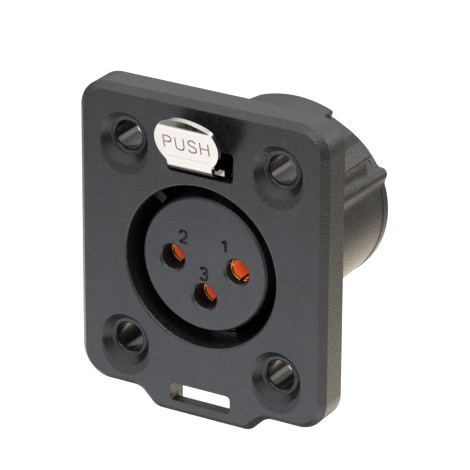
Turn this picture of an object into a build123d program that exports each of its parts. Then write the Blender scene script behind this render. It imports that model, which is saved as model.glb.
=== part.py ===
from build123d import *
from math import atan, cos, degrees, radians, sin, sqrt, tan
import os

# Three-pole panel socket with a square flange and a push latch.
# The origin is on the socket axis in the plane where the flange meets the panel.
# X runs to the right seen from the front, Y into the panel, and Z is up.

# Flange
flange_width = 31.6
flange_top = 19.5
flange_bottom = 16.7
flange_thickness = 4.04
flange_corner = 3.5
flange_chamfer = 0.77
foot_drop = 2.05
foot_half_width = 6.15
foot_fillet = 1.9
foot_bar_thickness = 1.4

# Slot in the flange's foot
slot_width = 7.76
slot_height = 2.15
slot_floor = 1.8
slot_corner = 0.5
slot_ramp_side = 0.72
slot_ramp_rise = 0.2

# Screw holes
screw_spacing_x = 19.56
screw_spacing_z = 24.51
screw_centre_z = 1.175
screw_hole_r = 1.68
screw_head_r = 3.12
screw_seat_r = 2.25
screw_seat_depth = 0.85
screw_hole_round = 0.4
screw_collar_wall = 0.95
screw_collar_height = 1.25

# Plug bore and rear barrel of the housing
groove_width = 1.65
plug_bore_depth = 16.04
bore_rim_round = 0.28
shoulder_thickness = 1.2
shoulder_step = 0.85
barrel_wall = 1.05
barrel_draft = 0.6
rim_height = 0.1
rim_width = 1.0

# Key in the plug bore
key_width = 1.1
key_height = 0.85
key_angle = 145.5
key_front = 0.4
key_root = 0.2

# Upper shell, latch bulge and side ribs
shell_wall = 3.03
shell_reach = 0.7
shell_edge_angle = 38.0
shell_edge_round = 0.5
bulge_wall_front = 0.9
bulge_wall_rear = 0.98
bulge_half_angle = 21.6
bulge_edge_round = 0.3
rib_angle_front = 33.0
rib_angle_rear = 25.2
rib_sink = 0.15
rib_r_front = 2.1
rib_r_rear = 0.88
rib_dome_step = 0.03
rib_blend = 1.8
web_drop = 0.75
web_hollow = 0.3

# Latch chamber
window_width = 8.35
window_wall = 1.27
window_height = 3.53
window_corner = 0.5
chamber_rear_width = 7.5
chamber_rear_wall = 0.75
chamber_rear_height = 2.0
spring_pocket_reach = 2.5
spring_pocket_wall = 0.9
cover_thickness = 0.8
cover_overlap = 0.55
cover_top_drop = 0.2
hook_slot_side = 0.45
hook_slot_front = 1.2
hook_slot_rear = 1.6

# Contact insert
insert_r = 7.95
insert_recess = 0.93
insert_edge = 0.25
insert_land_step = 0.2
insert_clearance = 0.05
insert_flange_length = 3.3
insert_flange_clearance = 0.05

# Contacts
contact_offset_x = 4.13
contact_low_z = -3.9
contact_hole_r = 1.46
contact_clearance = 0.04
contact_bore_r = 1.2
contact_bore_depth = 13.0
contact_recess = [1.2, 2.3, 2.3]
contact_slit = 0.4
contact_slit_depth = 8.0
collar_r = 1.9
collar_clearance = 0.05
neck_r = 1.45
cup_bore_r = 1.05
cup_depth = 3.4
cup_reach = 4.5
cup_lip = 0.15
cup_scoop = 2.4
contact_lead = 0.25
contact_edge = 0.06
drill_point = 0.4

# Rear cap
cap_recess = 0.5
cap_length = 3.9
cap_thickness = 1.0
cap_ring_wall = 0.9
cap_clearance = 0.04
cap_post_r = 2.35
cap_edge = 0.2

# Latch
sheet = 0.65
pivot_setback = 1.4
pivot_height = 0.8
pin_r = 0.5
pin_overlap = 0.75
pin_running_gap = 0.04
pin_seat_gap = 0.02
pin_edge = 0.1
arm_side_gap = 0.35
arm_lift = 0.98
arm_rear_gap = 1.7
ear_r = 1.05
ear_length = 3.6
neck_width = 5.6
neck_reach = 0.56
neck_fillet = 0.6
tab_width = 8.0
tab_head_height = 3.4
tab_top_drop = 0.4
tab_root_reach = 1.82
tab_lean = 14.0
tab_bend_r = 1.4
lip_lean = 40.0
lip_height = 1.35
lip_bend_r = 1.5
tab_blank_length = 5.0
hook_y = 3.4
hook_width = 3.6
hook_reach = 0.75
hook_slope = 0.8
hook_window = 2.6

# Latch spring
wire_r = 0.19
coil_inner_gap = 0.16
coil_turns = 5
coil_pitch = 0.5
spring_leg = 3.4
spring_tail = 1.25
ledge_gap = 0.04
ledge_height = 0.4
ledge_reach = 0.3
ledge_half_width = 1.9
cover_gap = 0.05

# Shell contact
strip_width = 3.0
strip_thickness = 0.25
strip_wall_gap = 0.06
strip_bow = 0.45
strip_front = 1.2
strip_crank = 0.9
strip_tag_length = 3.7
strip_tag_corner = 1.0
strip_tag_hole_r = 0.6
strip_slot_gap = 0.1
strip_notch_depth = 1.7

# Places that follow from the sizes above
front_y = -flange_thickness
bore_end = plug_bore_depth - flange_thickness
shoulder_end = bore_end + shoulder_thickness
plug_bore_r = insert_r + groove_width
insert_land_r = insert_r + insert_land_step
shoulder_bore_r = insert_land_r + insert_clearance
rear_bore_r = shoulder_bore_r + shoulder_step
barrel_r = rear_bore_r + barrel_wall
insert_front = front_y + insert_recess
insert_rear = shoulder_end + insert_flange_length
insert_flange_r = rear_bore_r - insert_flange_clearance
cap_rear = insert_rear + cap_length
cap_front = cap_rear - cap_thickness
barrel_end = cap_rear + cap_recess
shell_end = insert_rear + shell_reach
contact_outer_r = contact_hole_r - contact_clearance
contact_places = [(contact_offset_x, 0), (-contact_offset_x, 0), (0, contact_low_z)]
cup_end = barrel_end + cup_reach
window_floor = plug_bore_r + window_wall
window_top = window_floor + window_height
chamber_rear_floor = plug_bore_r + chamber_rear_wall
chamber_rear_roof = chamber_rear_floor + chamber_rear_height
chamber_end = shell_end - cover_thickness
shell_r = plug_bore_r + shell_wall
bulge_front_r = window_top + bulge_wall_front
bulge_r = chamber_rear_roof + bulge_wall_rear
rib_centre_r = barrel_r - rib_sink
rib_dome_r = rib_r_rear - rib_dome_step
web_top_r = shell_r - web_drop
pivot_y = chamber_end - pivot_setback
pivot_z = chamber_rear_floor + pivot_height
pocket_half_width = chamber_rear_width / 2
spring_pocket_start = pivot_y - spring_pocket_reach
spring_pocket_floor = rear_bore_r + spring_pocket_wall
cover_half_width = pocket_half_width + cover_overlap
cover_top = chamber_rear_roof - cover_top_drop
pin_length = chamber_rear_width + 2 * pin_overlap
arm_width = chamber_rear_width - 2 * arm_side_gap
arm_front_z = window_floor + arm_lift
arm_rear_y = pivot_y - arm_rear_gap
ear_start = pivot_y - ear_length
neck_start = front_y - neck_reach
tab_root_y = front_y - tab_root_reach
tab_top_z = flange_top - tab_top_drop
tab_swell_z = tab_top_z - tab_head_height
lip_z = tab_top_z - lip_height
hook_tip_r = plug_bore_r - hook_reach
slot_top = slot_floor - flange_bottom
slot_bottom = slot_top - slot_height
foot_bottom = -flange_bottom - foot_drop
slot_ramp_width = slot_width + 2 * slot_ramp_side
strip_outer_z = -sqrt((plug_bore_r - strip_wall_gap) ** 2 - (strip_width / 2) ** 2)
strip_bore_z = strip_outer_z + strip_thickness / 2
strip_barrel_z = strip_thickness / 2 - sqrt((rear_bore_r - strip_wall_gap) ** 2 - (strip_width / 2) ** 2)
strip_notch_top = strip_barrel_z + strip_thickness / 2 + strip_slot_gap
strip_tag_end = barrel_end + strip_tag_length
pick_margin = 0.01


def section_at(depth):
    # A plane across the socket axis, so far behind the panel face
    return Plane.XZ.offset(-depth)


def polar(radius, angle):
    return (radius * cos(radians(angle)), radius * sin(radians(angle)))


def along_barrel(front, rear, depth):
    # A size that changes evenly from the panel face to the barrel's end
    return front + (rear - front) * depth / barrel_end


def barrel_r_at(depth):
    return along_barrel(barrel_r + barrel_draft, barrel_r, depth)


def rib_r_at(depth):
    return along_barrel(rib_r_front, rib_r_rear, depth)


def rib_places(depth):
    # The middles of the two side ribs
    angle = along_barrel(rib_angle_front, rib_angle_rear, depth)
    return [polar(rib_centre_r, angle), polar(rib_centre_r, 180 - angle)]


def arm_z(y):
    # Height of the middle of the lever's sheet, on the line from the pivot to the window
    slope = (arm_front_z + sheet / 2 - pivot_z) / (pivot_y - front_y)
    return pivot_z + slope * (pivot_y - y)


def sector(radius, half_angle):
    # A wedge of a disc about the upward direction
    with BuildSketch() as wedge:
        with BuildLine():
            rim = CenterArc((0, 0), radius, 90 - half_angle, 2 * half_angle)
            Line((0, 0), rim @ 0)
            Line(rim @ 1, (0, 0))
        make_face()
    return wedge.sketch_local


lip_y = tab_root_y - tan(radians(tab_lean)) * (lip_z - arm_z(tab_root_y))
lip_tip_z = tab_top_z + sheet
lip_tip_y = lip_y - tan(radians(lip_lean)) * (lip_tip_z - lip_z)

# Housing: flange, plug bore, rear barrel and latch chamber in one moulding
with BuildPart() as housing:
    with BuildSketch(section_at(0)) as plate:
        with Locations((0, (flange_top - flange_bottom) / 2)):
            Rectangle(flange_width, flange_top + flange_bottom)
        with BuildLine():
            Polyline(
                (-foot_half_width - foot_drop, -flange_bottom),
                (-foot_half_width, foot_bottom),
                (foot_half_width, foot_bottom),
                (foot_half_width + foot_drop, -flange_bottom),
                close=True,
            )
        make_face()
        fillet([v for v in plate.vertices() if abs(v.X) > flange_width / 2 - pick_margin], flange_corner)
        foot_corners = [v for v in plate.vertices() if abs(v.X) < foot_half_width + foot_drop + pick_margin
                        and v.Y < -flange_bottom + pick_margin]
        fillet(foot_corners, foot_fillet)
    extrude(amount=flange_thickness)
    chamfer(housing.faces().sort_by(Axis.Y)[0].outer_wire().edges(), flange_chamfer)

    # Barrel, tapered to the rear, with its two blended ribs
    for depth in (0, barrel_end):
        with BuildSketch(section_at(depth)) as ribbed_outline:
            Circle(barrel_r_at(depth))
            with Locations(*rib_places(depth)):
                Circle(rib_r_at(depth))
            fillet(ribbed_outline.vertices(), rib_blend)
    loft(ruled=True)
    for rib_x, rib_z in rib_places(barrel_end):
        with Locations((rib_x, barrel_end, rib_z)):
            Sphere(rib_dome_r)
    with BuildSketch(section_at(barrel_end - rim_width)):
        Circle(barrel_r + rim_height)
    extrude(amount=-rim_width)

    # Webs that join the ribs to the upper shell
    for side, shell_edge in enumerate((shell_edge_angle, 180 - shell_edge_angle)):
        for depth in (0, shell_end):
            web_top = Vector(*polar(web_top_r, shell_edge))
            web_root = Vector(*polar(plug_bore_r, shell_edge))
            rib_middle = Vector(*rib_places(depth)[side])
            rib_top = rib_middle + Vector(*polar(rib_r_at(depth), shell_edge))
            web_middle = (web_top + rib_top) / 2 - Vector(*polar(web_hollow, shell_edge))
            with BuildSketch(section_at(depth)):
                with BuildLine():
                    ThreePointArc(web_top, web_middle, rib_top)
                    Polyline(rib_top, rib_middle, web_root, web_top)
                make_face()
        loft(ruled=True)

    # Upper shell round the latch chamber, and the bulge over the latch
    with BuildSketch(section_at(0)) as shell_outline:
        add(sector(shell_r, 90 - shell_edge_angle))
        fillet([v for v in shell_outline.vertices() if v.Y > pick_margin], shell_edge_round)
    extrude(amount=-shell_end)
    for depth, radius in ((0, bulge_front_r), (shell_end, bulge_r)):
        with BuildSketch(section_at(depth)) as bulge_outline:
            add(sector(radius, bulge_half_angle))
            fillet([v for v in bulge_outline.vertices() if v.Y > pick_margin], bulge_edge_round)
    loft()

    # Plug bore with its rounded mouth, the insert's shoulder and the rear bore
    with BuildSketch(section_at(bore_end)):
        Circle(plug_bore_r)
    extrude(amount=plug_bore_depth, mode=Mode.SUBTRACT)
    fillet(housing.faces().sort_by(Axis.Y)[0].inner_wires().edges(), bore_rim_round)
    with BuildSketch(section_at(barrel_end)):
        Circle(shoulder_bore_r)
    extrude(amount=barrel_end, mode=Mode.SUBTRACT)
    with BuildSketch(section_at(barrel_end)):
        Circle(rear_bore_r)
    extrude(amount=barrel_end - shoulder_end, mode=Mode.SUBTRACT)

    # Key that stands in from the wall of the plug bore
    with BuildSketch(section_at(key_front)):
        with Locations(polar(plug_bore_r + (key_root - key_height) / 2, key_angle)):
            Rectangle(key_height + key_root, key_width, rotation=key_angle)
    extrude(amount=-(bore_end - key_front))

    # Screw holes with their seats, and the collars behind them
    with BuildSketch(section_at(0)):
        with Locations((0, screw_centre_z)):
            with GridLocations(screw_spacing_x, screw_spacing_z, 2, 2):
                Circle(screw_hole_r + screw_collar_wall)
    extrude(amount=-screw_collar_height)
    with BuildSketch(section_at(front_y)):
        with Locations((0, screw_centre_z)):
            with GridLocations(screw_spacing_x, screw_spacing_z, 2, 2):
                Circle(screw_head_r)
    extrude(
        amount=-screw_seat_depth,
        taper=degrees(atan((screw_head_r - screw_seat_r) / screw_seat_depth)),
        mode=Mode.SUBTRACT,
    )
    with BuildSketch(section_at(screw_collar_height)):
        with Locations((0, screw_centre_z)):
            with GridLocations(screw_spacing_x, screw_spacing_z, 2, 2):
                Circle(screw_hole_r)
    extrude(amount=screw_collar_height + flange_thickness, mode=Mode.SUBTRACT)
    hole_edges = [e for e in housing.edges().filter_by(GeomType.CIRCLE)
                  if abs(e.radius - screw_hole_r) < pick_margin and e.center().Y < 0]
    fillet(hole_edges, screw_hole_round)

    # Slot through the foot, relieved behind by a ramp
    with BuildSketch(section_at(0)) as foot_slot:
        with Locations((0, (slot_top + slot_bottom) / 2)):
            Rectangle(slot_width, slot_height)
        fillet(foot_slot.vertices(), slot_corner)
    extrude(amount=flange_thickness, mode=Mode.SUBTRACT)
    with BuildSketch(Plane.YZ.offset(-slot_ramp_width / 2)):
        with BuildLine():
            Polyline(
                (0, slot_top + slot_ramp_rise),
                (front_y + foot_bar_thickness, slot_bottom),
                (front_y + foot_bar_thickness, foot_bottom),
                (0, foot_bottom),
                close=True,
            )
        make_face()
    extrude(amount=slot_ramp_width, mode=Mode.SUBTRACT)

    # Latch window and the chamber that narrows behind it
    with BuildSketch(section_at(0)) as window:
        with Locations((0, (window_floor + window_top) / 2)):
            Rectangle(window_width, window_height)
        fillet(window.vertices(), window_corner)
    extrude(amount=flange_thickness, mode=Mode.SUBTRACT)
    with BuildSketch(section_at(0)):
        with Locations((0, (window_floor + window_top) / 2)):
            Rectangle(window_width, window_height)
    with BuildSketch(section_at(chamber_end)):
        with Locations((0, (chamber_rear_floor + chamber_rear_roof) / 2)):
            Rectangle(chamber_rear_width, chamber_rear_roof - chamber_rear_floor)
    loft(mode=Mode.SUBTRACT)
    with BuildSketch(section_at(chamber_end)):
        with Locations((0, (spring_pocket_floor + pivot_z) / 2)):
            Rectangle(chamber_rear_width, pivot_z - spring_pocket_floor)
    extrude(amount=chamber_end - spring_pocket_start, mode=Mode.SUBTRACT)

    # Recess for the chamber's rear cover, and the open slots that the pin drops into
    with BuildSketch(section_at(shell_end)):
        with Locations((0, (spring_pocket_floor + cover_top) / 2)):
            Rectangle(2 * cover_half_width, cover_top - spring_pocket_floor)
    extrude(amount=shell_end - chamber_end, mode=Mode.SUBTRACT)
    with BuildSketch(section_at(chamber_end)):
        with Locations((0, pivot_z)):
            Rectangle(pin_length + 2 * pin_seat_gap, 2 * (pin_r + pin_seat_gap))
    extrude(amount=chamber_end - pivot_y, mode=Mode.SUBTRACT)
    with BuildSketch(Plane.YZ.offset(-pin_length / 2 - pin_seat_gap)):
        with Locations((pivot_y, pivot_z)):
            Circle(pin_r + pin_seat_gap)
    extrude(amount=pin_length + 2 * pin_seat_gap, mode=Mode.SUBTRACT)

    # Slot that lets the latch hook down into the plug bore
    with BuildSketch(section_at(hook_y - hook_slot_front)):
        with Locations((0, (window_floor + hook_tip_r) / 2)):
            Rectangle(hook_width + 2 * hook_slot_side, window_floor - hook_tip_r)
    extrude(amount=-(hook_slot_front + hook_slot_rear + sheet), mode=Mode.SUBTRACT)
    # Notch in the shoulder for the shell contact
    with BuildSketch(section_at(bore_end)):
        with Locations((0, -(insert_r + plug_bore_r) / 2)):
            Rectangle(strip_width + 2 * strip_slot_gap, plug_bore_r - insert_r)
    extrude(amount=-shoulder_thickness, mode=Mode.SUBTRACT)

housing.part.label = "housing"

# Contact insert: the moulded core with three holes, pushed in from behind
with BuildPart() as contact_insert:
    with BuildSketch(section_at(insert_front)):
        Circle(insert_r)
    extrude(amount=-(insert_rear - insert_front))
    with BuildSketch(section_at(bore_end)):
        Circle(insert_land_r)
    extrude(amount=-shoulder_thickness)
    with BuildSketch(section_at(shoulder_end)):
        Circle(insert_flange_r)
    extrude(amount=-insert_flange_length)
    with BuildSketch(section_at(insert_front)):
        with Locations(*contact_places):
            Circle(contact_hole_r)
    extrude(amount=-(insert_rear - insert_front), mode=Mode.SUBTRACT)
    front_edges = contact_insert.edges().filter_by(GeomType.CIRCLE).group_by(Axis.Y)[0]
    chamfer(front_edges, insert_edge)
    with BuildSketch(section_at(insert_rear)):
        with Locations(*contact_places):
            Circle(collar_r + collar_clearance)
    extrude(amount=insert_flange_length, mode=Mode.SUBTRACT)
    with BuildSketch(section_at(bore_end)):
        with Locations((0, strip_notch_top - strip_notch_depth)):
            Rectangle(strip_width + 2 * strip_slot_gap, 2 * strip_notch_depth)
    extrude(amount=-(insert_rear - bore_end), mode=Mode.SUBTRACT)
contact_insert.part.label = "contact_insert"

# Three turned contacts: spring socket, collar and solder cup
contacts = []
for number, (place_x, place_z) in enumerate(contact_places):
    mouth = insert_front + contact_recess[number]
    with BuildPart() as contact:
        with BuildSketch(Plane(origin=(place_x, 0, place_z), x_dir=(1, 0, 0), z_dir=(0, 0, 1))):
            with BuildLine():
                Polyline(
                    (0, mouth + contact_bore_depth + contact_bore_r * drill_point),
                    (contact_bore_r, mouth + contact_bore_depth),
                    (contact_bore_r, mouth + contact_lead),
                    (contact_outer_r - contact_edge, mouth),
                    (contact_outer_r, mouth + contact_edge),
                    (contact_outer_r, shoulder_end),
                    (collar_r, shoulder_end),
                    (collar_r, insert_rear),
                    (neck_r, insert_rear),
                    (neck_r, cup_end),
                    (cup_bore_r, cup_end),
                    (cup_bore_r, cup_end - cup_depth),
                    (0, cup_end - cup_depth - cup_bore_r * drill_point),
                    close=True,
                )
            make_face()
        revolve(axis=Axis((place_x, 0, place_z), (0, 1, 0)))
        with BuildSketch(Plane.XY.offset(place_z - contact_outer_r)):
            with Locations((place_x, mouth + contact_slit_depth / 2)):
                Rectangle(contact_slit, contact_slit_depth)
        extrude(amount=2 * contact_outer_r, mode=Mode.SUBTRACT)
        with BuildSketch(Plane.XY.offset(place_z + cup_lip)):
            with Locations((place_x, cup_end - cup_scoop / 2)):
                Rectangle(2 * neck_r, cup_scoop)
        extrude(amount=neck_r, mode=Mode.SUBTRACT)
    contact.part.label = "contact_" + str(number + 1)
    contacts.append(contact.part)

# Rear cap: closes the barrel and holds the insert and the contacts down
with BuildPart() as rear_cap:
    with BuildSketch(section_at(cap_rear)):
        Circle(rear_bore_r - cap_clearance)
    extrude(amount=cap_rear - insert_rear)
    with BuildSketch(section_at(cap_front)):
        Circle(rear_bore_r - cap_clearance - cap_ring_wall)
        with Locations(*contact_places):
            Circle(cap_post_r, mode=Mode.SUBTRACT)
    extrude(amount=cap_front - insert_rear, mode=Mode.SUBTRACT)
    with BuildSketch(section_at(cap_rear)):
        with Locations(*contact_places):
            Circle(neck_r + collar_clearance)
        with Locations((0, strip_notch_top - strip_notch_depth)):
            Rectangle(strip_width + 2 * strip_slot_gap, 2 * strip_notch_depth)
    extrude(amount=cap_rear - insert_rear, mode=Mode.SUBTRACT)
    rear_circles = rear_cap.edges().filter_by(GeomType.CIRCLE).group_by(Axis.Y)[-1]
    fillet(rear_circles.sort_by(SortBy.RADIUS)[-1:], cap_edge)
rear_cap.part.label = "rear_cap"

# Latch lever: a stamped arm with a bent thumb tab, two ears and a hook
with BuildPart() as latch_blank:
    with BuildSketch(section_at(neck_start)) as tab_outline:
        with Locations((0, tab_swell_z)):
            Ellipse(tab_width / 2, tab_top_z - tab_swell_z)
        with Locations((0, (tab_swell_z + window_floor) / 2)):
            Rectangle(neck_width, tab_swell_z - window_floor)
        neck_corners = [v for v in tab_outline.vertices() if abs(v.X) < neck_width / 2 + pick_margin
                        and v.Y > window_floor + sheet]
        fillet(neck_corners, neck_fillet)
    extrude(amount=tab_blank_length)
    with BuildSketch(section_at(neck_start)):
        with Locations((0, (window_floor + window_top) / 2)):
            Rectangle(arm_width, window_height)
    extrude(amount=-(arm_rear_y - neck_start))
with BuildPart() as latch_lever:
    with BuildSketch(Plane.YZ.offset(-tab_width / 2)):
        with BuildLine():
            FilletPolyline(
                (arm_rear_y, arm_z(arm_rear_y)),
                (tab_root_y, arm_z(tab_root_y)),
                (lip_y, lip_z),
                (lip_tip_y, lip_tip_z),
                radius=[tab_bend_r - sheet / 2, lip_bend_r],
            )
        trace(line_width=sheet)
    extrude(amount=tab_width)
    add(latch_blank.part, mode=Mode.INTERSECT)
    with BuildSketch(Plane.YZ.offset(-hook_width / 2)):
        with BuildLine():
            Polyline(
                (hook_y, arm_z(hook_y)),
                (hook_y, hook_tip_r + hook_slope),
                (hook_y + hook_slope / 2, hook_tip_r),
                (hook_y + sheet, hook_tip_r),
                (hook_y + sheet, arm_z(hook_y)),
                close=True,
            )
        make_face()
    extrude(amount=hook_width)
    with BuildSketch(Plane.XY.offset(window_floor)):
        with Locations((0, hook_y + sheet + hook_window / 2)):
            Rectangle(hook_width + sheet, hook_window)
    extrude(amount=window_height, mode=Mode.SUBTRACT)
    for side in (-1, 1):
        with BuildSketch(Plane.YZ.offset(side * (arm_width - sheet) / 2 - sheet / 2)):
            with Locations((pivot_y, pivot_z)):
                Circle(ear_r)
            with Locations((ear_start, arm_z(ear_start))):
                Circle(sheet / 2)
            make_hull()
        extrude(amount=sheet)
    with BuildSketch(Plane.YZ.offset(-arm_width / 2)):
        with Locations((pivot_y, pivot_z)):
            Circle(pin_r + pin_running_gap)
    extrude(amount=arm_width, mode=Mode.SUBTRACT)
latch_lever.part.label = "latch_lever"

# Pivot pin across the latch chamber
with BuildPart() as latch_pin:
    with BuildSketch(Plane.YZ.offset(-pin_length / 2)):
        with Locations((pivot_y, pivot_z)):
            Circle(pin_r)
    extrude(amount=pin_length)
    chamfer(latch_pin.edges(), pin_edge)
latch_pin.part.label = "latch_pin"

# Return spring: coils round the pin, one leg on the arm and one on the cover's ledge
coil_r = pin_r + coil_inner_gap + wire_r
coil_length = coil_turns * coil_pitch
with BuildPart() as latch_spring:
    with BuildLine() as spring_line:
        coil = Helix(
            pitch=coil_pitch,
            height=coil_length,
            radius=coil_r,
            lefthand=True,
            mode=Mode.PRIVATE,
        )
        coil_plane = Plane(origin=(-coil_length / 2, pivot_y, pivot_z), x_dir=(0, 0, 1), z_dir=(1, 0, 0))
        turns = coil_plane.from_local_coords(coil.edge())
        add(turns)
        Line(turns @ 0 - (turns % 0) * spring_leg, turns @ 0)
        Line(turns @ 1, turns @ 1 + (turns % 1) * spring_tail)
    spring_path = spring_line.wires()[0]
    with BuildSketch(Plane(origin=spring_path @ 0, z_dir=spring_path % 0)):
        Circle(wire_r)
    sweep(path=spring_path)
latch_spring.part.label = "latch_spring"

# Cover that closes the chamber behind the pin
with BuildPart() as latch_cover:
    with BuildSketch(section_at(shell_end)):
        with Locations((0, (spring_pocket_floor + cover_top) / 2)):
            Rectangle(2 * (cover_half_width - cover_gap), cover_top - spring_pocket_floor - 2 * cover_gap)
    extrude(amount=shell_end - chamber_end)
    for side in (-1, 1):
        finger_x = side * (pocket_half_width + cover_half_width) / 2
        with BuildSketch(section_at(chamber_end)):
            with Locations((finger_x, pivot_z)):
                Rectangle(cover_overlap - 2 * cover_gap, 2 * (pin_r - cover_gap))
        extrude(amount=chamber_end - pivot_y - pin_r - pin_seat_gap)
    with BuildSketch(section_at(chamber_end)):
        with Locations((0, pivot_z + coil_r - wire_r - ledge_gap - ledge_height / 2)):
            Rectangle(2 * ledge_half_width, ledge_height)
    extrude(amount=ledge_reach)
latch_cover.part.label = "latch_cover"

# Shell contact: a bowed strip in the plug bore with a solder tag behind
with BuildPart() as shell_contact:
    with BuildSketch(Plane.YZ.offset(-strip_width / 2)):
        with BuildLine():
            FilletPolyline(
                (strip_front, strip_bore_z),
                ((strip_front + bore_end) / 2, strip_bore_z + strip_bow),
                (bore_end - strip_crank / 2, strip_bore_z),
                (bore_end + strip_crank / 4, strip_bore_z),
                (bore_end + strip_crank, strip_barrel_z),
                (strip_tag_end, strip_barrel_z),
                radius=strip_thickness,
            )
        trace(line_width=strip_thickness)
    extrude(amount=strip_width)
    with BuildSketch(Plane.XY.offset(strip_barrel_z - strip_thickness)):
        with Locations((0, strip_tag_end - strip_width / 2)):
            Circle(strip_tag_hole_r)
    extrude(amount=2 * strip_thickness, mode=Mode.SUBTRACT)
    fillet(shell_contact.edges().filter_by(Axis.Z).group_by(Axis.Y)[-1], strip_tag_corner)
shell_contact.part.label = "shell_contact"

os.makedirs("parts", exist_ok=True)
export_step(housing.part, "parts/housing.step")
export_step(contact_insert.part, "parts/contact_insert.step")
for contact_part in contacts:
    export_step(contact_part, "parts/" + contact_part.label + ".step")
export_step(rear_cap.part, "parts/rear_cap.step")
export_step(latch_lever.part, "parts/latch_lever.step")
export_step(latch_pin.part, "parts/latch_pin.step")
export_step(latch_spring.part, "parts/latch_spring.step")
export_step(latch_cover.part, "parts/latch_cover.step")
export_step(shell_contact.part, "parts/shell_contact.step")
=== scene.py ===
import bmesh
import bpy
import math
from mathutils import Matrix, Vector


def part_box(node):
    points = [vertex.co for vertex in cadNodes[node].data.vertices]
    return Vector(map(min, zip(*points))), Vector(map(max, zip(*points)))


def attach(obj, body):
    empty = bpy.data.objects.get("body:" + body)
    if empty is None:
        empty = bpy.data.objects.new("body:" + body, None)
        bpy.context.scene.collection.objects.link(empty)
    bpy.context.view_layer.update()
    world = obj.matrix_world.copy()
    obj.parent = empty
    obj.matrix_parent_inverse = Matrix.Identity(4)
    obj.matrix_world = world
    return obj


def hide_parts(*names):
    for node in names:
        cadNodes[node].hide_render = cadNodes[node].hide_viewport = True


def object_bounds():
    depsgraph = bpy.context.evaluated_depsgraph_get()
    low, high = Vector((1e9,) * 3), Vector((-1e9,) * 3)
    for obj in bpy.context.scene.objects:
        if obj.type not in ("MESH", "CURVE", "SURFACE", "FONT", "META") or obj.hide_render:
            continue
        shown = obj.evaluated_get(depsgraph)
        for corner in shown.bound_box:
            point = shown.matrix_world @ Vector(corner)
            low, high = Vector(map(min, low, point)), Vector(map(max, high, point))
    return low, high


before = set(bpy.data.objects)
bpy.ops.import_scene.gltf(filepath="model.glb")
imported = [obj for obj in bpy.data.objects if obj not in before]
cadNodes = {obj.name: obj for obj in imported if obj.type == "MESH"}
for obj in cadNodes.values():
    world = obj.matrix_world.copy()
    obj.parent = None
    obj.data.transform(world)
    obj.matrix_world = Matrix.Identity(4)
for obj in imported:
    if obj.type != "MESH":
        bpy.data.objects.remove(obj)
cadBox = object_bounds()
mm = 0.001


# Helpers for materials and meshes
def toLinear(hexColour):
    # an sRGB hex value as linear red, green, blue and a full alpha
    channels = [int(hexColour[i:i + 2], 16) / 255 for i in (1, 3, 5)]
    return [c / 12.92 if c <= 0.04045 else ((c + 0.055) / 1.055) ** 2.4 for c in channels] + [1.0]


def addNode(material, kind, inputs=None, **settings):
    # a shader node with its own settings, and with inputs that are fixed values or another node's output
    node = material.node_tree.nodes.new("ShaderNode" + kind)
    for name, value in settings.items():
        setattr(node, name, value)
    for name, value in (inputs or {}).items():
        if isinstance(value, bpy.types.NodeSocket):
            material.node_tree.links.new(value, node.inputs[name])
        else:
            node.inputs[name].default_value = value
    return node


def newMaterial(name):
    # an empty material with its output, and the piece's own coordinates in metres
    material = bpy.data.materials.new(name)
    material.use_nodes = True
    material.node_tree.nodes.clear()
    output = addNode(material, "OutputMaterial")
    place = addNode(material, "TexCoord").outputs["Object"]
    return material, output, place


def perMetre(sizeInMm):
    return 1 / (sizeInMm * mm)


def setMaterial(obj, material):
    if not obj.data.materials:
        obj.data.materials.append(material)
    for slot in obj.material_slots:
        slot.material = material


def newPiece(name, mesh):
    obj = bpy.data.objects.new(name, mesh)
    bpy.context.scene.collection.objects.link(obj)
    return obj


# Camera, at the photograph's angle
cameraView = {
    "azimuth": 30.173, "elevation": 23.49, "roll": 0.334,       # degrees
    "distance": 431.35, "target": (1.122, 1.703, 2.090),        # mm
    "lens": 296.97, "sensor": 36.0, "nearest": 10.0,            # mm
}


def makeCamera():
    azimuth, elevation, roll = (math.radians(cameraView[k]) for k in ("azimuth", "elevation", "roll"))
    back = Vector((math.sin(azimuth) * math.cos(elevation), -math.cos(azimuth) * math.cos(elevation),
                   math.sin(elevation)))
    right = Vector((math.cos(azimuth), math.sin(azimuth), 0))
    up = back.cross(right)
    rolledRight = right * math.cos(roll) + up * math.sin(roll)
    rolledUp = back.cross(rolledRight)
    camera = bpy.data.objects.new("camera", bpy.data.cameras.new("camera"))
    camera.data.lens = cameraView["lens"]
    camera.data.sensor_width = cameraView["sensor"]
    camera.data.clip_start = cameraView["nearest"] * mm
    turn = Matrix((rolledRight, rolledUp, back)).transposed().to_4x4()
    place = (Vector(cameraView["target"]) + back * cameraView["distance"]) * mm
    camera.matrix_world = Matrix.Translation(place) @ turn
    bpy.context.scene.collection.objects.link(camera)
    bpy.context.scene.camera = camera


makeCamera()
print("camera set")


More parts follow.
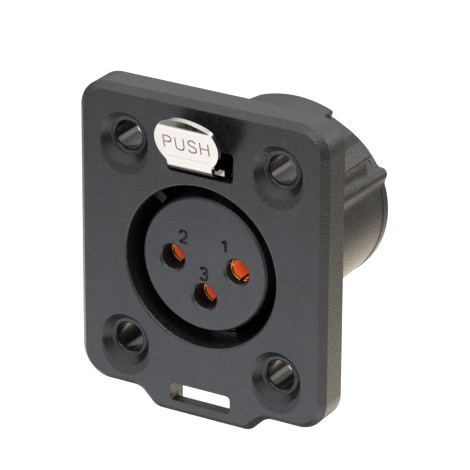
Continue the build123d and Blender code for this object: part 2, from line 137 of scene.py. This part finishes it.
# Light, floor and backdrop
studio = {
    "floorDrop": 24.0,          # mm below the lowest point of the part
    "floorSize": 3000.0,        # mm
    "floorColour": "#e6e6e4",
    "floorWhite": 0.85,         # share of plain white that the camera and reflections see
    "floorGlow": 1.3,           # brightness of that white, above 1 because the paper is lit hard
    "paintedPool": {                   # painted pool of light: how bright that white is in reflections, fading away from the part
        "along": (0.58, 0.81),                  # the way straight back from the camera, seen from above
        "middle": 20, "aside": 12,              # mm from the axis, back along that way and to its right
        "frontScale": 0.4, "sideScale": 0.55,   # distances to the front and aside count less
        "inner": 10, "outer": 115,              # mm from that middle, where it starts and ends to fade
        "bright": 2.6, "dim": 0.38,
        "cool": "#f6f9ff", "warm": "#fff2de",   # painted tint of that pool in front of the part and behind it
        "paintedShadow": {"middle": (-8, 9), "inner": 22, "outer": 44, "share": 0.1},      # mm, the painted shadow under the part
    },
    "skyForLight": 0.36,        # strength of the surrounding light on matt surfaces
    "skyForGloss": {"horizon": 0.1, "overhead": 2.1, "overheadFrom": 0.8},          # the same in reflections
    "lamps": {
        # name: (place in mm, size in mm, watts, colour)
        "overhead": ((300, -60, 600), 420, 3.0, "#ffffff"),
        "frontFill": ((-420, -620, 120), 420, 1.2, "#f6f8ff"),
        "rearRight": ((440, 510, 235), 300, 0.9, "#fff6ea"),
    },
}


def backdropWhite(material, forCamera, forGloss, forLight):
    # a different value for the camera and for clear paths, for reflections, and for the light on matt surfaces
    path = addNode(material, "LightPath").outputs
    clear = addNode(material, "Math", {
        0: path["Is Camera Ray"], 1: path["Is Transmission Ray"]}, operation="MAXIMUM")
    lit = addNode(material, "Mix", {"Factor": path["Is Glossy Ray"], "A": forLight, "B": forGloss})
    return addNode(material, "Mix", {
        "Factor": clear.outputs[0], "A": lit.outputs["Result"], "B": forCamera}).outputs["Result"]


def paintedPoolOfLight(material, place, paintedPool, floorLevel):
    # painted pool of light: the paper's white in reflections is brightest round the part and gets darker towards the
    # backdrop, with a painted shadow of the part underneath
    x, y = paintedPool["along"]
    along = addNode(material, "VectorMath", {0: place, 1: (x, y, 0)}, operation="DOT_PRODUCT")
    aside = addNode(material, "VectorMath", {0: place, 1: (y, -x, 0)}, operation="DOT_PRODUCT")
    behind = addNode(material, "Math", {
        0: along.outputs["Value"], 1: paintedPool["middle"] * mm}, operation="SUBTRACT").outputs[0]
    ahead = addNode(material, "Math", {0: behind, 1: -paintedPool["frontScale"]}, operation="MULTIPLY")
    depth = addNode(material, "Math", {0: behind, 1: ahead.outputs[0]}, operation="MAXIMUM")
    offSide = addNode(material, "Math", {
        0: aside.outputs["Value"], 1: paintedPool["aside"] * mm}, operation="SUBTRACT")
    width = addNode(material, "Math", {0: offSide.outputs[0], 1: paintedPool["sideScale"]}, operation="MULTIPLY")
    reach = addNode(material, "CombineXYZ", {"X": depth.outputs[0], "Y": width.outputs[0]})
    reach = addNode(material, "VectorMath", {0: reach.outputs[0]}, operation="LENGTH")
    strength = addNode(material, "MapRange", {
        "Value": reach.outputs["Value"], "From Min": paintedPool["inner"] * mm, "From Max": paintedPool["outer"] * mm,
        "To Min": paintedPool["bright"], "To Max": paintedPool["dim"]}, interpolation_type="SMOOTHSTEP")

    paintedShadow = paintedPool["paintedShadow"]
    x, y = paintedShadow["middle"]
    below = addNode(material, "VectorMath", {0: place, 1: (x * mm, y * mm, floorLevel)}, operation="DISTANCE")
    outsidePaintedShadow = addNode(material, "MapRange", {
        "Value": below.outputs["Value"], "From Min": paintedShadow["inner"] * mm, "From Max": paintedShadow["outer"] * mm,
        "To Min": paintedShadow["share"], "To Max": 1.0}, interpolation_type="SMOOTHSTEP")
    strength = addNode(material, "Math", {
        0: strength.outputs["Result"], 1: outsidePaintedShadow.outputs["Result"]}, operation="MULTIPLY")

    turn = addNode(material, "MapRange", {
        "Value": behind, "From Min": -paintedPool["middle"] * mm, "From Max": paintedPool["middle"] * mm})
    tint = addNode(material, "Mix", {
        "Factor": turn.outputs["Result"], "A": toLinear(paintedPool["cool"]), "B": toLinear(paintedPool["warm"])},
        data_type="RGBA")
    return strength.outputs[0], tint.outputs["Result"]


def makeSky():
    world = bpy.data.worlds.new("studioSky")
    bpy.context.scene.world = world
    world.use_nodes = True
    world.node_tree.nodes.clear()
    output = addNode(world, "OutputWorld")
    heading = addNode(world, "TexCoord").outputs["Generated"]
    gloss = studio["skyForGloss"]
    skyForGloss = addNode(world, "MapRange", {
        "Value": addNode(world, "SeparateXYZ", {"Vector": heading}).outputs["Z"],
        "From Min": 0.0, "From Max": gloss["overheadFrom"],
        "To Min": gloss["horizon"], "To Max": gloss["overhead"]})
    sky = addNode(world, "Background", {
        "Color": toLinear("#ffffff"),
        "Strength": backdropWhite(world, 1.0, skyForGloss.outputs["Result"], studio["skyForLight"])})
    world.node_tree.links.new(sky.outputs[0], output.inputs["Surface"])


def makeFloor():
    floorLevel = cadBox[0].z - studio["floorDrop"] * mm
    material, output, place = newMaterial("studioPaper")
    paper = addNode(material, "BsdfDiffuse", {"Color": toLinear(studio["floorColour"])})
    # painted pool of light and painted shadow, seen where the part reflects the floor
    paintedPoolStrength, paintedPoolTint = paintedPoolOfLight(material, place, studio["paintedPool"], floorLevel)
    inGloss = addNode(material, "LightPath").outputs["Is Glossy Ray"]
    glow = addNode(material, "Mix", {"Factor": inGloss, "A": studio["floorGlow"], "B": paintedPoolStrength})
    tint = addNode(material, "Mix", {
        "Factor": inGloss, "A": toLinear("#ffffff"), "B": paintedPoolTint}, data_type="RGBA")
    white = addNode(material, "Emission", {
        "Color": tint.outputs["Result"], "Strength": glow.outputs["Result"]})
    share = backdropWhite(material, studio["floorWhite"], studio["floorWhite"], 0.0)
    seen = addNode(material, "MixShader", {0: share, 1: paper.outputs[0], 2: white.outputs[0]})
    material.node_tree.links.new(seen.outputs[0], output.inputs["Surface"])

    shape = bmesh.new()
    bmesh.ops.create_grid(shape, x_segments=1, y_segments=1, size=studio["floorSize"] / 2 * mm)
    bmesh.ops.translate(shape, verts=shape.verts, vec=(0, 0, floorLevel))
    mesh = bpy.data.meshes.new("floor")
    shape.to_mesh(mesh)
    shape.free()
    floor = newPiece("floor", mesh)
    setMaterial(floor, material)


def makeLamps():
    for name, (place, size, watts, colour) in studio["lamps"].items():
        lamp = bpy.data.lights.new(name, "AREA")
        lamp.size = size * mm
        lamp.energy = watts
        lamp.color = toLinear(colour)[:3]
        holder = bpy.data.objects.new(name, lamp)
        place = Vector(place) * mm
        holder.matrix_world = Matrix.Translation(place) @ place.to_track_quat("Z", "Y").to_matrix().to_4x4()
        bpy.context.scene.collection.objects.link(holder)


makeSky()
makeFloor()
makeLamps()
print("studio set")


# Materials of the moulded plastics; every size is in mm
plasticNoise = {
    # name: (detail, roughness) of the noise
    "cloud": (3.0, 0.5), "fleck": (1.0, 0.5), "grain": (2.0, 0.6),
    "toneFrom": 0.36, "toneTo": 0.64, "glossFrom": 0.3, "glossTo": 0.7,     # the part of the noise that is used
    "frontFacing": -0.98, "sideFacing": -0.8,       # the normal's Y on the front face, and from where it is a side
}
edgeSamples = 6
plainShine = 0.5


def mouldedNylon(name, look):
    # Glass-filled nylon, injection moulded in a spark-eroded tool: a charcoal black with a satin front face,
    # a fine even grain on the sides, faint cloudiness from the glass fibres, softly rounded edges, and
    # smoother, darker screw seats where the tool has polished core pins
    material, output, place = newMaterial(name)
    noise = {}
    for pattern in ("cloud", "fleck", "grain"):
        detail, roughness = plasticNoise[pattern]
        noise[pattern] = addNode(material, "TexNoise", {
            "Vector": place, "Scale": perMetre(look[pattern + "Size"]), "Detail": detail,
            "Roughness": roughness}).outputs["Fac"]
    mixed = addNode(material, "Mix", {"Factor": look["fleckShare"], "A": noise["cloud"], "B": noise["fleck"]})
    tone = addNode(material, "MapRange", {
        "Value": mixed.outputs["Result"],
        "From Min": plasticNoise["toneFrom"], "From Max": plasticNoise["toneTo"]})
    colour = addNode(material, "Mix", {
        "Factor": tone.outputs["Result"], "A": toLinear(look["dark"]), "B": toLinear(look["light"])},
        data_type="RGBA")
    facing = addNode(material, "SeparateXYZ", {
        "Vector": addNode(material, "NewGeometry").outputs["True Normal"]})
    awayFromFront = addNode(material, "MapRange", {
        "Value": facing.outputs["Y"],
        "From Min": plasticNoise["frontFacing"], "From Max": plasticNoise["sideFacing"]})
    depth = addNode(material, "MapRange", {
        "Value": awayFromFront.outputs["Result"],
        "To Min": look["frontGrain"], "To Max": look["sideGrain"]}).outputs["Result"]
    gloss = addNode(material, "MapRange", {
        "Value": noise["grain"], "From Min": plasticNoise["glossFrom"], "From Max": plasticNoise["glossTo"],
        "To Min": look["roughLow"], "To Max": look["roughHigh"]}).outputs["Result"]
    shine = plainShine
    if "corePins" in look:
        outside = outsideCorePins(material, place, look["corePins"])
        depth, gloss, shine = (
            addNode(material, "Math", {
                0: value,
                1: addNode(material, "Math", {0: outside, 1: look["corePins"][share]},
                           operation="MAXIMUM").outputs[0]}, operation="MULTIPLY").outputs[0]
            for value, share in ((depth, "grainShare"), (gloss, "roughShare"), (shine, "shineShare")))
    edges = addNode(material, "Bevel", {"Radius": look["edgeRadius"] * mm}, samples=edgeSamples)
    bump = addNode(material, "Bump", {
        "Strength": depth, "Distance": look["grainDepth"] * mm, "Height": noise["grain"],
        "Normal": edges.outputs["Normal"]})
    surface = addNode(material, "BsdfPrincipled", {
        "Base Color": colour.outputs["Result"], "Roughness": gloss, "IOR": look["ior"],
        "Specular IOR Level": shine, "Normal": bump.outputs["Normal"]})
    material.node_tree.links.new(surface.outputs[0], output.inputs["Surface"])
    return material


def outsideCorePins(material, place, pins):
    # 0 in the four screw seats, which mirror each other, and 1 elsewhere
    x, z = pins["middle"]
    mirrored = addNode(material, "VectorMath", {0: place}, operation="ABSOLUTE")
    flat = addNode(material, "VectorMath", {0: mirrored.outputs[0], 1: (1, 0, 1)}, operation="MULTIPLY")
    reach = addNode(material, "VectorMath", {0: flat.outputs[0], 1: (x * mm, 0, z * mm)}, operation="DISTANCE")
    return addNode(material, "Math", {
        0: reach.outputs["Value"], 1: pins["radius"] * mm}, operation="GREATER_THAN").outputs[0]


housingLook = {
    "dark": "#151517", "light": "#2e2e31", "cloudSize": 6.0, "fleckSize": 0.3, "fleckShare": 0.6,
    "grainSize": 0.17, "grainDepth": 0.06, "frontGrain": 0.3, "sideGrain": 0.9,
    "roughLow": 0.22, "roughHigh": 0.34, "edgeRadius": 0.09, "ior": 1.52,
    "corePins": {"middle": (9.78, 12.255), "radius": 3.12, "grainShare": 0.15, "roughShare": 0.6, "shineShare": 0.6},
}
insertLook = {
    "dark": "#202023", "light": "#3b3b3f", "cloudSize": 5.0, "fleckSize": 0.25, "fleckShare": 0.6,
    "grainSize": 0.17, "grainDepth": 0.05, "frontGrain": 0.4, "sideGrain": 0.6,
    "roughLow": 0.24, "roughHigh": 0.36, "edgeRadius": 0.09, "ior": 1.53,
}
# painted shade: a darker plastic for the walls and floors of the sunk numerals, standing in for the shade in their
# grooves
numeralShadeLook = {
    "dark": "#161618", "light": "#1e1e20", "cloudSize": 2.0, "fleckSize": 0.2, "fleckShare": 0.5,
    "grainSize": 0.12, "grainDepth": 0.03, "frontGrain": 0.6, "sideGrain": 0.6,
    "roughLow": 0.5, "roughHigh": 0.65, "edgeRadius": 0.03, "ior": 1.5,
}
capLook = {
    "dark": "#1c1c1e", "light": "#29292a", "cloudSize": 5.0, "fleckSize": 0.3, "fleckShare": 0.5,
    "grainSize": 0.2, "grainDepth": 0.03, "frontGrain": 0.4, "sideGrain": 0.6,
    "roughLow": 0.26, "roughHigh": 0.4, "edgeRadius": 0.08, "ior": 1.5,
}


# Materials of the metals; every size is in mm
metalNoise = {"lineDetail": 2.0, "waveDetail": 1.0, "glossFrom": 0.3, "glossTo": 0.7}


def platedMetal(name, look):
    # Metal with a thin bright plating: a coloured mirror with a slight haze, faint waviness from the
    # stamping or turning below it, and fine drawing lines along one direction
    material, output, place = newMaterial(name)
    stretched = addNode(material, "Mapping", {"Vector": place, "Scale": look["lineStretch"]})
    lines = addNode(material, "TexNoise", {
        "Vector": stretched.outputs["Vector"], "Scale": perMetre(look["lineSize"]),
        "Detail": metalNoise["lineDetail"]}).outputs["Fac"]
    waves = addNode(material, "TexNoise", {
        "Vector": place, "Scale": perMetre(look["waveSize"]), "Detail": metalNoise["waveDetail"]}).outputs["Fac"]
    tint = addNode(material, "Mix", {
        "Factor": waves, "A": toLinear(look["dark"]), "B": toLinear(look["light"])}, data_type="RGBA")
    gloss = addNode(material, "MapRange", {
        "Value": lines, "From Min": metalNoise["glossFrom"], "From Max": metalNoise["glossTo"],
        "To Min": look["roughLow"], "To Max": look["roughHigh"]})
    edges = addNode(material, "Bevel", {"Radius": look["edgeRadius"] * mm}, samples=edgeSamples)
    wavy = addNode(material, "Bump", {
        "Strength": look["waveStrength"], "Distance": look["waveDepth"] * mm, "Height": waves,
        "Normal": edges.outputs["Normal"]})
    drawn = addNode(material, "Bump", {
        "Strength": look["lineStrength"], "Distance": look["lineDepth"] * mm, "Height": lines,
        "Normal": wavy.outputs["Normal"]})
    surface = addNode(material, "BsdfPrincipled", {
        "Base Color": tint.outputs["Result"], "Metallic": 1.0, "Roughness": gloss.outputs["Result"],
        "Normal": drawn.outputs["Normal"]})
    # painted glow: the gold contacts' bores get an emission that stands in for light
    if "paintedGlowInBores" in look:
        surface.inputs["Emission Color"].default_value = toLinear(look["paintedGlowInBores"]["glow"])
        material.node_tree.links.new(paintedBoreGlow(material, place, look["paintedGlowInBores"]), surface.inputs["Emission Strength"])
    material.node_tree.links.new(surface.outputs[0], output.inputs["Surface"])
    return material


def paintedBoreGlow(material, place, paintedGlowInBores):
    # painted glow: an emission on the walls of the gold contacts' round bores, standing in for the warm light
    # that gold throws back and forth there, fading with depth, as the eye sees it and a little of it in other
    # reflections
    parts = addNode(material, "SeparateXYZ", {"Vector": place}).outputs
    flat = addNode(material, "CombineXYZ", {"X": parts["X"], "Z": parts["Z"]}).outputs[0]
    nearest = None
    for x, z in paintedGlowInBores["middles"]:
        reach = addNode(material, "VectorMath", {
            0: flat, 1: (x * mm, 0, z * mm)}, operation="DISTANCE").outputs["Value"]
        if nearest is not None:
            reach = addNode(material, "Math", {0: nearest, 1: reach}, operation="MINIMUM").outputs[0]
        nearest = reach
    within = addNode(material, "Math", {0: nearest, 1: paintedGlowInBores["radius"] * mm}, operation="LESS_THAN")
    shallow = addNode(material, "MapRange", {
        "Value": parts["Y"], "From Min": paintedGlowInBores["front"] * mm, "From Max": paintedGlowInBores["end"] * mm,
        "To Min": 1.0, "To Max": 0.0})
    path = addNode(material, "LightPath").outputs
    inGloss = addNode(material, "Math", {
        0: path["Is Glossy Ray"], 1: paintedGlowInBores["glossShare"]}, operation="MULTIPLY")
    seen = addNode(material, "Math", {
        0: path["Is Camera Ray"], 1: inGloss.outputs[0]}, operation="MAXIMUM").outputs[0]
    for factor in (paintedGlowInBores["strength"], within.outputs[0], shallow.outputs["Result"]):
        seen = addNode(material, "Math", {0: seen, 1: factor}, operation="MULTIPLY").outputs[0]
    return seen


nickelLook = {
    "dark": "#b2ada6", "light": "#beb9b2", "roughLow": 0.08, "roughHigh": 0.16, "edgeRadius": 0.05,
    "waveSize": 2.2, "waveStrength": 0.15, "waveDepth": 0.03,
    "lineSize": 0.3, "lineStretch": (1.0, 0.1, 0.1), "lineStrength": 0.04, "lineDepth": 0.01,
}
# painted shade: a darker, brownish metal for the sunk letters of the word, standing in for the shade in their
# grooves
markShadeLook = {
    "dark": "#86705f", "light": "#a38e7d", "roughLow": 0.3, "roughHigh": 0.5, "edgeRadius": 0.02,
    "waveSize": 0.6, "waveStrength": 0.1, "waveDepth": 0.01,
    "lineSize": 0.1, "lineStretch": (1.0, 1.0, 1.0), "lineStrength": 0.2, "lineDepth": 0.01,
}
goldLook = {
    "dark": "#e6ad52", "light": "#f6cd7c", "roughLow": 0.08, "roughHigh": 0.16, "edgeRadius": 0.12,
    "waveSize": 1.0, "waveStrength": 0.1, "waveDepth": 0.02,
    "lineSize": 0.1, "lineStretch": (0.2, 1.0, 0.2), "lineStrength": 0.15, "lineDepth": 0.01,
    # painted glow inside the three contacts' bores: where, how deep, its colour and strength
    "paintedGlowInBores": {
        "middles": ((4.13, 0), (-4.13, 0), (0, -3.9)), "radius": 1.22, "front": -2.0, "end": 2.2,
        "glow": "#b8441e", "strength": 1.65, "glossShare": 0.12,
    },
}
pinLook = {
    "dark": "#a5a39f", "light": "#bdbbb7", "roughLow": 0.25, "roughHigh": 0.4, "edgeRadius": 0.03,
    "waveSize": 1.0, "waveStrength": 0.1, "waveDepth": 0.01,
    "lineSize": 0.08, "lineStretch": (0.1, 1.0, 1.0), "lineStrength": 0.3, "lineDepth": 0.01,
}
springLook = {
    "dark": "#8d8b88", "light": "#aaa8a4", "roughLow": 0.28, "roughHigh": 0.42, "edgeRadius": 0.02,
    "waveSize": 0.8, "waveStrength": 0.1, "waveDepth": 0.01,
    "lineSize": 0.06, "lineStretch": (1.0, 1.0, 1.0), "lineStrength": 0.3, "lineDepth": 0.008,
}
# the ground strip's tin, partly its own dull grey and partly painted shade: darker than the metal, where it lies at
# the bottom of the plug's groove
tinAndShadeLook = {
    "dark": "#7d7b77", "light": "#8f8d89", "roughLow": 0.2, "roughHigh": 0.34, "edgeRadius": 0.03,
    "waveSize": 0.9, "waveStrength": 0.3, "waveDepth": 0.02,
    "lineSize": 0.1, "lineStretch": (1.0, 0.1, 1.0), "lineStrength": 0.2, "lineDepth": 0.01,
}

housingPlastic = mouldedNylon("glassFilledNylon", housingLook)
insertPlastic = mouldedNylon("insertNylon", insertLook)
numeralShadePlastic = mouldedNylon("numeralNylonPaintedShade", numeralShadeLook)
capPlastic = mouldedNylon("capNylon", capLook)
nickel = platedMetal("nickelPlatedSteel", nickelLook)
stampedSteelPaintedShade = platedMetal("stampedMarksPaintedShade", markShadeLook)
gold = platedMetal("goldPlatedBrass", goldLook)
pinSteel = platedMetal("drawnSteelRod", pinLook)
springSteel = platedMetal("springWire", springLook)
tinnedAndShaded = platedMetal("tinnedBronzeAndShade", tinAndShadeLook)

for nodeName, material in {
    "housing": housingPlastic, "rear_cap": capPlastic, "latch_cover": capPlastic,
    "contact_1": gold, "contact_2": gold, "contact_3": gold,
    "latch_pin": pinSteel, "latch_spring": springSteel, "shell_contact": tinnedAndShaded,
}.items():
    setMaterial(cadNodes[nodeName], material)
print("materials made")


# Characters, drawn as single strokes in a box one unit high
strokes = {
    "_": [[(0, 0.5), (1, 0.5)]],
    "P": [[(0, 0), (0, 1)], [(0, 1), (0.36, 1)], [(0.36, 1), (0.57, 0.91), (0.62, 0.75), (0.57, 0.59), (0.36, 0.5)],
          [(0.36, 0.5), (0, 0.5)]],
    "U": [[(0, 1), (0, 0.34)], [(0, 0.34), (0.07, 0.1), (0.33, 0), (0.59, 0.1), (0.66, 0.34)],
          [(0.66, 0.34), (0.66, 1)]],
    "S": [[(0.6, 0.82), (0.48, 0.96), (0.3, 1), (0.1, 0.93), (0.03, 0.76), (0.12, 0.6), (0.32, 0.52),
           (0.54, 0.43), (0.63, 0.25), (0.54, 0.07), (0.3, 0), (0.1, 0.05), (0, 0.2)]],
    "H": [[(0, 0), (0, 1)], [(0.66, 0), (0.66, 1)], [(0, 0.52), (0.66, 0.52)]],
    "1": [[(0, 0.72), (0.22, 0.85), (0.34, 1)], [(0.34, 1), (0.34, 0)]],
    "2": [[(0, 0.72), (0.08, 0.91), (0.3, 1), (0.53, 0.9), (0.6, 0.7), (0.5, 0.47), (0, 0)], [(0, 0), (0.64, 0)]],
    "3": [[(0, 0.84), (0.12, 0.96), (0.3, 1), (0.52, 0.92), (0.56, 0.74), (0.46, 0.58), (0.22, 0.53)],
          [(0.22, 0.53), (0.5, 0.46), (0.6, 0.28), (0.52, 0.08), (0.28, 0), (0.08, 0.04), (0, 0.18)]],
}
strokeRounding = {"steps": 3, "sides": 2}       # of each curved piece, and of the stroke's round section


def strokeCutter(name, text, centre, along, up, look, material):
    # round-bottomed strokes of a word, sunk in the surface, to be cut out of a piece
    curve = bpy.data.curves.new(name, "CURVE")
    curve.dimensions = "3D"
    curve.bevel_depth = look["stroke"] / 2 * mm
    curve.bevel_resolution = strokeRounding["sides"]
    curve.resolution_u = strokeRounding["steps"]
    curve.use_fill_caps = True
    widths = [max(x for line in strokes[c] for x, _ in line) for c in text]
    total = sum(widths) + look["gap"] * (len(text) - 1)
    left = -total / 2
    for character, width in zip(text, widths):
        for line in strokes[character]:
            spline = curve.splines.new("BEZIER")
            spline.bezier_points.add(len(line) - 1)
            for point, (x, y) in zip(spline.bezier_points, line):
                point.co = centre + (along * (left + x) + up * (y - 0.5)) * look["height"] * mm
                point.handle_left_type = point.handle_right_type = "AUTO"
        left += width + look["gap"]
    holder = newPiece(name, curve)
    bpy.context.view_layer.update()
    mesh = bpy.data.meshes.new_from_object(holder.evaluated_get(bpy.context.evaluated_depsgraph_get()))
    bpy.data.objects.remove(holder)
    mesh.transform(Matrix.Translation(up.cross(along) * look["sink"] * mm))
    cutter = newPiece(name, mesh)
    setMaterial(cutter, material)
    return cutter


# Work on copies of the CAD's own shapes
copyRules = {
    "mergeWithin": 0.0005,      # mm
    "sharpFrom": 28.0,          # degrees between two faces
    "flatWithin": 0.9999,       # how nearly a face looks along the direction of its flat face
    "faceWithin": 0.99999, "levelWithin": 0.001,        # the same when that face is looked for, and mm of its level
}


def mergedCopy(nodeName, name):
    # the node's own shape as one closed mesh, ready to be worked on; its stored corner normals no longer
    # fit after merging and are dropped
    mesh = cadNodes[nodeName].data.copy()
    mesh.name = name
    stored = mesh.attributes.get("custom_normal")
    if stored:
        mesh.attributes.remove(stored)
    shape = bmesh.new()
    shape.from_mesh(mesh)
    bmesh.ops.remove_doubles(shape, verts=shape.verts, dist=copyRules["mergeWithin"] * mm)
    shape.to_mesh(mesh)
    shape.free()
    return newPiece(name, mesh)


def cutAway(piece, cutters, outward):
    # cuts the characters, and keeps the flat face that they stand in flat
    for cutter in cutters:
        cut = piece.modifiers.new("cut", "BOOLEAN")
        cut.operation = "DIFFERENCE"
        cut.solver = "EXACT"
        cut.use_self = True
        cut.material_mode = "TRANSFER"
        cut.object = cutter
        bpy.context.view_layer.update()
        evaluated = piece.evaluated_get(bpy.context.evaluated_depsgraph_get())
        mesh = bpy.data.meshes.new_from_object(evaluated)
        piece.modifiers.clear()
        piece.data = mesh
        bpy.data.objects.remove(cutter)
    piece.data.shade_smooth()
    piece.data.set_sharp_from_angle(angle=math.radians(copyRules["sharpFrom"]))
    for polygon in piece.data.polygons:
        if polygon.normal.dot(outward) > copyRules["flatWithin"]:
            polygon.use_smooth = False


def flatFace(mesh, outward):
    # the corners of the largest flat face that looks along a direction
    flats = [p for p in mesh.polygons if p.normal.dot(outward) > copyRules["faceWithin"]]
    level = max(flats, key=lambda p: p.area).center.dot(outward)
    corners = [mesh.vertices[i].co.copy() for p in flats for i in p.vertices]
    return [corner for corner in corners if abs(corner.dot(outward) - level) < copyRules["levelWithin"] * mm]


# Numerals beside the contacts, sunk in the insert's face, their grooves in a darker plastic as painted shade; every
# size is in mm
numerals = {
    "stroke": 0.38, "height": 1.42, "gap": 0.3, "sink": 0.07,
    "places": {"1": (2.5, 2.88), "2": (-2.67, 2.85), "3": (-0.02, -1.08)},   # x and z
}


def makeInsert():
    insert = mergedCopy("contact_insert", "numberedInsert")
    along, up, outward = Vector((1, 0, 0)), Vector((0, 0, 1)), Vector((0, -1, 0))
    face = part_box("contact_insert")[0].y
    setMaterial(insert, insertPlastic)
    cutters = [strokeCutter("numeral", text, Vector((x * mm, face, z * mm)), along, up, numerals, numeralShadePlastic)
               for text, (x, z) in numerals["places"].items()]
    cutAway(insert, cutters, outward)
    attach(insert, "socket")
    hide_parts("contact_insert")


makeInsert()
print("insert numbered")


# The latch lever, with its word and a fold line stamped in the thumb tab, the word's grooves in a darker metal as
# painted shade; every size is in mm
tabLook = {
    "lean": 14.0,               # degrees
    "word": {"text": "PUSH", "aboveRoot": 2.76, "stroke": 0.17, "height": 1.55, "gap": 0.36, "sink": 0.03},
    "foldLine": {"text": "_", "aboveRoot": 0.95, "stroke": 0.05, "height": 5.2, "gap": 0, "sink": -0.01},
}


def makeLever():
    lever = mergedCopy("latch_lever", "stampedLever")
    lean = math.radians(tabLook["lean"])
    along = Vector((1, 0, 0))
    outward = Vector((0, -math.cos(lean), -math.sin(lean)))
    up = Vector((0, -math.sin(lean), math.cos(lean)))
    root = min(flatFace(lever.data, outward), key=lambda corner: corner.dot(up))
    root.x = 0
    setMaterial(lever, nickel)
    cutters = [strokeCutter(mark, look["text"], root + up * look["aboveRoot"] * mm, along, up, look, material)
               for mark, look, material in (("word", tabLook["word"], stampedSteelPaintedShade),
                                            ("foldLine", tabLook["foldLine"], nickel))]
    cutAway(lever, cutters, outward)
    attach(lever, "latch")
    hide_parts("latch_lever")


makeLever()
print("lever stamped")

bpy.context.scene.view_settings.view_transform = "Standard"
